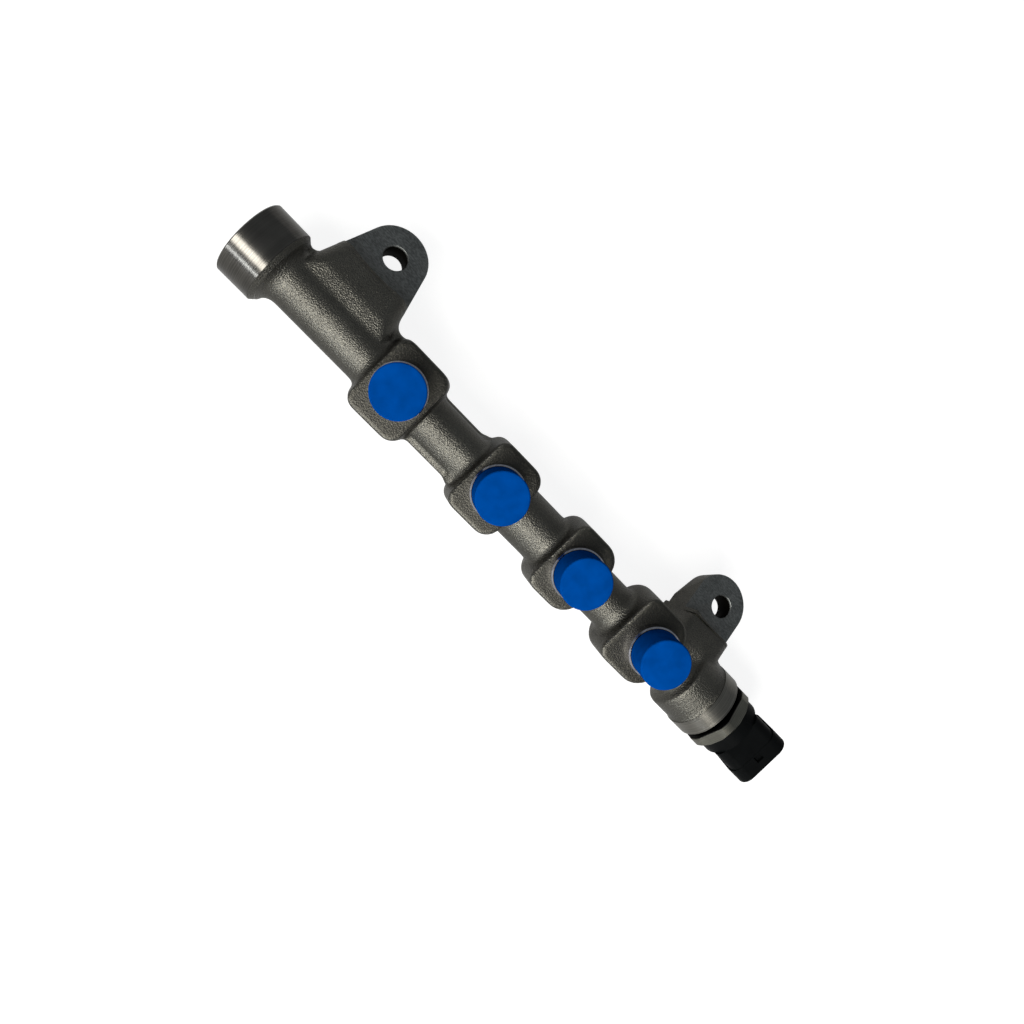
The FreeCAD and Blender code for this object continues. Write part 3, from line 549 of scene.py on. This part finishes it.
# %% Turned head
HEAD_R, HEAD_EDGE, SHOULDER_R, CONE = 14.0, 0.4, 12.5, 1.6
PORT_R, PORT_ROOT_R, PORT_DEPTH, PORT_MOUTH, BORE_R = 8.25, 8.95, 12.0, 0.8, 5.0
THREAD_RUN, DRILL_HALF_ANGLE = 1.0, 60
head_at = RAIL @ Matrix.Translation((HEAD_X, 0, 0))
to_head = head_at.inverted()
port_foot = PORT_DEPTH + (PORT_R - BORE_R) / math.tan(math.radians(DRILL_HALF_ANGLE))
rail_head = lathe("rail_head", [
    (0, PORT_R + PORT_MOUTH), (0, HEAD_R - HEAD_EDGE), (HEAD_EDGE, HEAD_R),
    (HEAD_LENGTH - CONE, HEAD_R), (HEAD_LENGTH, SHOULDER_R), (HEAD_LENGTH, BORE_R),
    (port_foot, BORE_R), (PORT_DEPTH, PORT_R), (PORT_DEPTH - THREAD_RUN, PORT_ROOT_R),
    (THREAD_RUN, PORT_ROOT_R)], head_at)
dress(rail_head, "blasted_steel", STEEL_TURNED, STEEL_FORGED)
for face in rail_head.data.polygons:
    spot = to_head @ face.center / MM
    on_cone = HEAD_LENGTH - CONE < spot.x < HEAD_LENGTH and math.hypot(spot.y, spot.z) > SHOULDER_R
    face.material_index = int(on_cone)

# %% Turned collar
COLLAR_R, COLLAR_EDGE, SENSOR_PORT_R = 13.85, 0.4, 8.25
rail_collar = lathe("rail_collar", [
    (0, SENSOR_PORT_R), (0, COLLAR_R), (COLLAR_LENGTH - COLLAR_EDGE, COLLAR_R),
    (COLLAR_LENGTH, COLLAR_R - COLLAR_EDGE), (COLLAR_LENGTH, SENSOR_PORT_R + PORT_MOUTH),
    (COLLAR_LENGTH - PORT_MOUTH, SENSOR_PORT_R)], RAIL @ Matrix.Translation((COLLAR_START, 0, 0)))
dress(rail_collar, "blasted_steel", STEEL_COLLAR)

# %% [markdown]
# A thread is a ridge that winds round a cylinder, so it follows a path: a spiral. Geometry Nodes draw the
# spiral, sweep a four-cornered profile along it, and the result is realized and given its steel. One tree
# serves the inlet port and the four nipples, with other numbers in its inputs.


# %% Thread tree
THREAD_INPUTS = {
    "Radius": "Float", "Pitch": "Float", "Turns": "Float", "Ridge": "Float", "Steel": "Material"}
STEPS_PER_TURN, RIDGE_CORNERS = 40, 4


def thread_tree():
    """Swept spiral ridge with inputs for radius, pitch, turns and ridge size."""
    tree = bpy.data.node_groups.new("wound_thread", "GeometryNodeTree")
    sizes = {}
    for name, kind in THREAD_INPUTS.items():
        socket = tree.interface.new_socket(name, in_out="INPUT", socket_type="NodeSocket" + kind)
        sizes[name] = socket.identifier
    tree.interface.new_socket("Geometry", in_out="OUTPUT", socket_type="NodeSocketGeometry")
    inner = tree.nodes.new("NodeGroupInput")
    height = tree.nodes.new("ShaderNodeMath")
    height.operation = "MULTIPLY"
    spiral = tree.nodes.new("GeometryNodeCurveSpiral")
    spiral.inputs["Resolution"].default_value = STEPS_PER_TURN
    section = tree.nodes.new("GeometryNodeCurvePrimitiveCircle")
    section.inputs["Resolution"].default_value = RIDGE_CORNERS
    sweep = tree.nodes.new("GeometryNodeCurveToMesh")
    sweep.inputs["Fill Caps"].default_value = True
    real = tree.nodes.new("GeometryNodeRealizeInstances")
    coat = tree.nodes.new("GeometryNodeSetMaterial")
    result = tree.nodes.new("NodeGroupOutput")
    for source, target in (
            (inner.outputs["Pitch"], height.inputs[0]), (inner.outputs["Turns"], height.inputs[1]),
            (inner.outputs["Turns"], spiral.inputs["Rotations"]),
            (inner.outputs["Radius"], spiral.inputs["Start Radius"]),
            (inner.outputs["Radius"], spiral.inputs["End Radius"]),
            (height.outputs[0], spiral.inputs["Height"]),
            (inner.outputs["Ridge"], section.inputs["Radius"]),
            (spiral.outputs[0], sweep.inputs["Curve"]), (section.outputs[0], sweep.inputs["Profile Curve"]),
            (sweep.outputs[0], real.inputs[0]), (real.outputs[0], coat.inputs["Geometry"]),
            (inner.outputs["Steel"], coat.inputs["Material"]), (coat.outputs[0], result.inputs[0])):
        tree.links.new(source, target)
    return tree, sizes


THREAD, THREAD_SIZES = thread_tree()
print("inputs of the thread tree:", THREAD_SIZES)


# %% Thread maker and the port's thread
def thread(name, radius, pitch, turns, ridge, steel, place):
    """One wound thread as a plain mesh in its place."""
    carrier = bpy.data.objects.new(name + "_carrier", bpy.data.meshes.new(name))
    bpy.context.scene.collection.objects.link(carrier)
    winding = carrier.modifiers.new("Thread", "NODES")
    winding.node_group = THREAD
    values = {"Radius": radius * MM, "Pitch": pitch * MM, "Turns": turns,
              "Ridge": ridge * MM, "Steel": steel}
    for key, value in values.items():
        winding[THREAD_SIZES[key]] = value
    graph = bpy.context.evaluated_depsgraph_get()
    mesh = bpy.data.meshes.new_from_object(carrier.evaluated_get(graph))
    bpy.data.objects.remove(carrier)
    mesh.transform(place)
    dress(finish_mesh(name, mesh, sharp=50), "blasted_steel", steel)


PITCH = 1.5
PORT_TURNS, PORT_THREAD_START = 6.0, 1.6
turn_to_x = Matrix.Rotation(math.radians(90), 4, "Y")
thread("port_thread", PORT_ROOT_R, PITCH, PORT_TURNS, PORT_ROOT_R - PORT_R, STEEL_TURNED,
       head_at @ Matrix.Translation((PORT_THREAD_START * MM, 0, 0)) @ turn_to_x)

# %% [markdown]
# Each nipple is one turned shape: a plain collar on the block, the threaded neck, and a cone at the mouth
# where the pipe seals. Only the collar shows, because a transport cap covers the rest. The collar's shelf
# lies in the narrow gap under the cap, so it is painted almost black as shade.

# %% Nipples
NIPPLE_FOOT, NIPPLE_SHELF, NIPPLE_TOP = BLOCK_FACE - 1, BLOCK_FACE + 3.7, 27.6
NIPPLE_COLLAR_R, NIPPLE_EDGE = 9.4, 0.5
NIPPLE_CORE_R, NECK_EDGE, NECK_RIM = 6.3, 1.0, 0.8
NECK_TURNS, NECK_RIDGE, NECK_THREAD_START = 5.0, 0.65, NIPPLE_SHELF + 1
SEAT_R, CROSS_R, SEAT_HALF_ANGLE = 4.6, 1.5, 30
SEAT_FOOT = NIPPLE_TOP - (SEAT_R - CROSS_R) / math.tan(math.radians(SEAT_HALF_ANGLE))
SHELF_BAND = 0.01
NIPPLE_PROFILE = [
    (NIPPLE_FOOT, CROSS_R), (NIPPLE_FOOT, NIPPLE_COLLAR_R),
    (NIPPLE_SHELF - NIPPLE_EDGE, NIPPLE_COLLAR_R), (NIPPLE_SHELF, NIPPLE_COLLAR_R - NIPPLE_EDGE),
    (NIPPLE_SHELF, NIPPLE_CORE_R), (NIPPLE_TOP - NECK_EDGE, NIPPLE_CORE_R),
    (NIPPLE_TOP, NIPPLE_CORE_R - NECK_RIM), (NIPPLE_TOP, SEAT_R), (SEAT_FOOT, CROSS_R)]
outlet_places = [RAIL @ Matrix.Translation((along, 0, 0)) for along in OUTLET_X]
for number, outlet_at in enumerate(outlet_places, 1):
    nipple = lathe("nipple_%d" % number, NIPPLE_PROFILE, outlet_at, along="Z")
    dress(nipple, "blasted_steel", STEEL_NIPPLE, BORE_PAINTED_SHADE)
    # The shelf gets the near-black painted shade.
    for face in nipple.data.polygons:
        face.material_index = int(abs(lift_of(face.center) - NIPPLE_SHELF) < SHELF_BAND)
    thread("nipple_thread_%d" % number, NIPPLE_CORE_R, PITCH, NECK_TURNS, NECK_RIDGE, STEEL_TURNED,
           outlet_at @ Matrix.Translation((0, 0, NECK_THREAD_START * MM)))

# %% [markdown]
# A transport cap is a plain moulded cup. Its top edge is rounded, its wall is thin, and it stands just
# clear of the nipple's collar. The round edge catches a thin light line, which flat corners would not.

# %% Transport caps
CAP_R, CAP_WALL, CAP_TOP, CAP_EDGE, CAP_GAP = 8.75, 1.4, 1.5, 0.6, 0.3
CAP_FOOT = NIPPLE_SHELF + CAP_GAP
CAP_END = NIPPLE_TOP + CAP_TOP
EDGE_STEPS = 6


def cap_profile():
    """Half section of a cap: foot, wall, rounded top edge, and the hollow."""
    points = [(CAP_FOOT, CAP_R - CAP_WALL), (CAP_FOOT, CAP_R)]
    for step in range(EDGE_STEPS + 1):
        angle = math.pi / 2 * step / EDGE_STEPS
        points.append((CAP_END - CAP_EDGE + CAP_EDGE * math.sin(angle),
                       CAP_R - CAP_EDGE + CAP_EDGE * math.cos(angle)))
    return points + [(CAP_END, 0), (NIPPLE_TOP, 0), (NIPPLE_TOP, CAP_R - CAP_WALL)]


for cap, outlet_at in zip(CAPS, outlet_places):
    piece = lathe(cap.replace("outlet", "transport"), cap_profile(), outlet_at, along="Z")
    dress(piece, "cap_blue", PLASTIC_BLUE)
    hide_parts(cap)

# %% [markdown]
# The sensor's pieces come straight from the frame. Each only needs its finish.

# %% Sensor pieces
SENSOR_FINISHES = {
    "sensor_body": STEEL_SENSOR, "sensor_pressure_cell": STEEL_CELL, "sensor_seal": RUBBER_SEAL,
    "sensor_circuit_board": BOARD_GREEN, "sensor_connector": PLASTIC_BLACK,
    "sensor_terminal_1": BRASS_TINNED, "sensor_terminal_2": BRASS_TINNED, "sensor_terminal_3": BRASS_TINNED}
for node, finish in SENSOR_FINISHES.items():
    mesh = frame["nodes"][node].data
    mesh.materials.clear()
    mesh.materials.append(finish)
    print(node, finish.name)

# %% [markdown]
# The rail lies on a pale floor that curves up into a low wall all round. The floor shows almost white by a
# little glow that only the camera and mirror-like rays can see. The glow lights nothing, so the rail's own
# light comes from the lamps, and its soft shadow stays on the floor.

# %% Floor
FLOOR_R, WALL_HEIGHT, WALL_BEND, FLOOR_THICK = 1400.0, 480.0, 260.0, 5.0
BEND_STEPS = 12
FLOOR_TONE, FLOOR_GLOW, FLOOR_MIRRORED = 0.3, 0.86, 0.3


def pale_floor():
    """Matt grey that camera rays see as almost white, and mirror-like rays as a part of that."""
    finish, tree, shader, place = new_finish("pale_floor", Roughness=0.9)
    cloud = put(tree, "TexNoise", [("Vector", place)], Scale=0.004, Detail=2.0)
    tone = ramp(tree, cloud.outputs["Fac"], 0.3, 0.7, (FLOOR_TONE,) * 3, (FLOOR_TONE * 1.04,) * 3)
    tree.links.new(tone, shader.inputs["Base Color"])
    path = put(tree, "LightPath")
    mirrored = put(tree, "Math", [(0, path.outputs["Is Glossy Ray"])], operation="MULTIPLY")
    mirrored.inputs[1].default_value = FLOOR_MIRRORED
    seen = put(tree, "Math", [(0, path.outputs["Is Camera Ray"]), (1, mirrored.outputs[0])],
               operation="MAXIMUM")
    seen = put(tree, "Math", [(0, seen.outputs[0]), (1, path.outputs["Is Transmission Ray"])],
               operation="MAXIMUM")
    glow = put(tree, "Math", [(0, seen.outputs[0])], operation="MULTIPLY")
    glow.inputs[1].default_value = FLOOR_GLOW
    tree.links.new(glow.outputs[0], shader.inputs["Emission Strength"])
    shader.inputs["Emission Color"].default_value = (1, 1, 1, 1)
    return finish


def floor_profile(top):
    """Half section of the floor: flat, bent up at its edge into a low wall, with a plain underside."""
    points = [(top, 0)]
    for step in range(BEND_STEPS + 1):
        angle = math.pi / 2 * step / BEND_STEPS
        points.append((top + WALL_BEND * (1 - math.cos(angle)), FLOOR_R + WALL_BEND * math.sin(angle)))
    inner, outer = FLOOR_R + WALL_BEND, FLOOR_R + WALL_BEND + FLOOR_THICK
    return points + [(top + WALL_HEIGHT, inner), (top + WALL_HEIGHT, outer),
                     (top - FLOOR_THICK, outer), (top - FLOOR_THICK, 0)]


floor_z = min(corner[2] for corner in cad_box) / MM
floor = lathe("floor", floor_profile(floor_z), Matrix.Identity(4), along="Z", segments=96)
floor.data.materials.append(pale_floor())
print("floor at z = %.1f mm" % floor_z)

# %% [markdown]
# One wide lamp stands on the tube's side of the rail, so the round tube carries one broad soft band of
# light along its length, and the faces that look up or towards the bolts stay dark. A long low strip beside
# it draws the thin cool line along the turned head, and a dim world keeps the shade readable.


# %% Lamps and world
def softbox(name, spot, aim, size, power, tone):
    """Rectangular lamp that looks at a point; the camera doesn't see it."""
    light = bpy.data.lights.new(name, "AREA")
    light.shape = "RECTANGLE"
    light.size, light.size_y = size
    light.energy = power
    light.color = tone
    lamp = bpy.data.objects.new(name, light)
    lamp.location = spot
    lamp.rotation_euler = (Vector(aim) - Vector(spot)).to_track_quat("-Z", "Y").to_euler()
    lamp.visible_camera = False
    bpy.context.scene.collection.objects.link(lamp)


def from_bearing(azimuth, height, distance):
    """Point at a bearing and height angle in degrees, seen from the rail's middle."""
    azimuth, height = math.radians(azimuth), math.radians(height)
    flat = distance * math.cos(height)
    return AXIS + Vector((flat * math.cos(azimuth), flat * math.sin(azimuth), distance * math.sin(height)))


TUBE_SIDE = -92
softbox("key_lamp", from_bearing(TUBE_SIDE, 41, 0.95), AXIS, (1.1, 0.32), 12.5, tone=(1.0, 0.975, 0.92))
softbox("low_strip", from_bearing(TUBE_SIDE, 12, 1.2), AXIS, (1.4, 0.08), 5.6, tone=(0.92, 0.96, 1.0))
world = bpy.data.worlds.new("studio")
world.use_nodes = True
background = world.node_tree.nodes["Background"]
background.inputs["Color"].default_value = (0.91, 0.96, 1.0, 1)
background.inputs["Strength"].default_value = 0.23
bpy.context.scene.world = world

# %% [markdown]
# The camera stands above the rail on the tube's side, close enough for the outlets to fan out, and is
# rolled so that the rail runs corner to corner.

# %% Camera
CAMERA_AT = Vector((-54.49, -124.83, 247.78)) * MM
CAMERA_AIM = Vector((1.39, -32.22, 4.05)) * MM
CAMERA_ROLL = 74.37
LENS, SENSOR_WIDTH = 26.97, 36.0
lens = bpy.data.cameras.new("camera")
lens.sensor_width = SENSOR_WIDTH
lens.lens = LENS
lens.clip_start = 0.01
camera = bpy.data.objects.new("camera", lens)
aim = (CAMERA_AIM - CAMERA_AT).to_track_quat("-Z", "Y").to_matrix().to_4x4()
roll = Matrix.Rotation(math.radians(CAMERA_ROLL), 4, "Z")
camera.matrix_world = Matrix.Translation(CAMERA_AT) @ aim @ roll
bpy.context.scene.collection.objects.link(camera)
bpy.context.scene.camera = camera
bpy.context.scene.view_settings.view_transform = "Standard"
print("camera stands %.0f mm from its aim" % ((CAMERA_AIM - CAMERA_AT).length / MM))
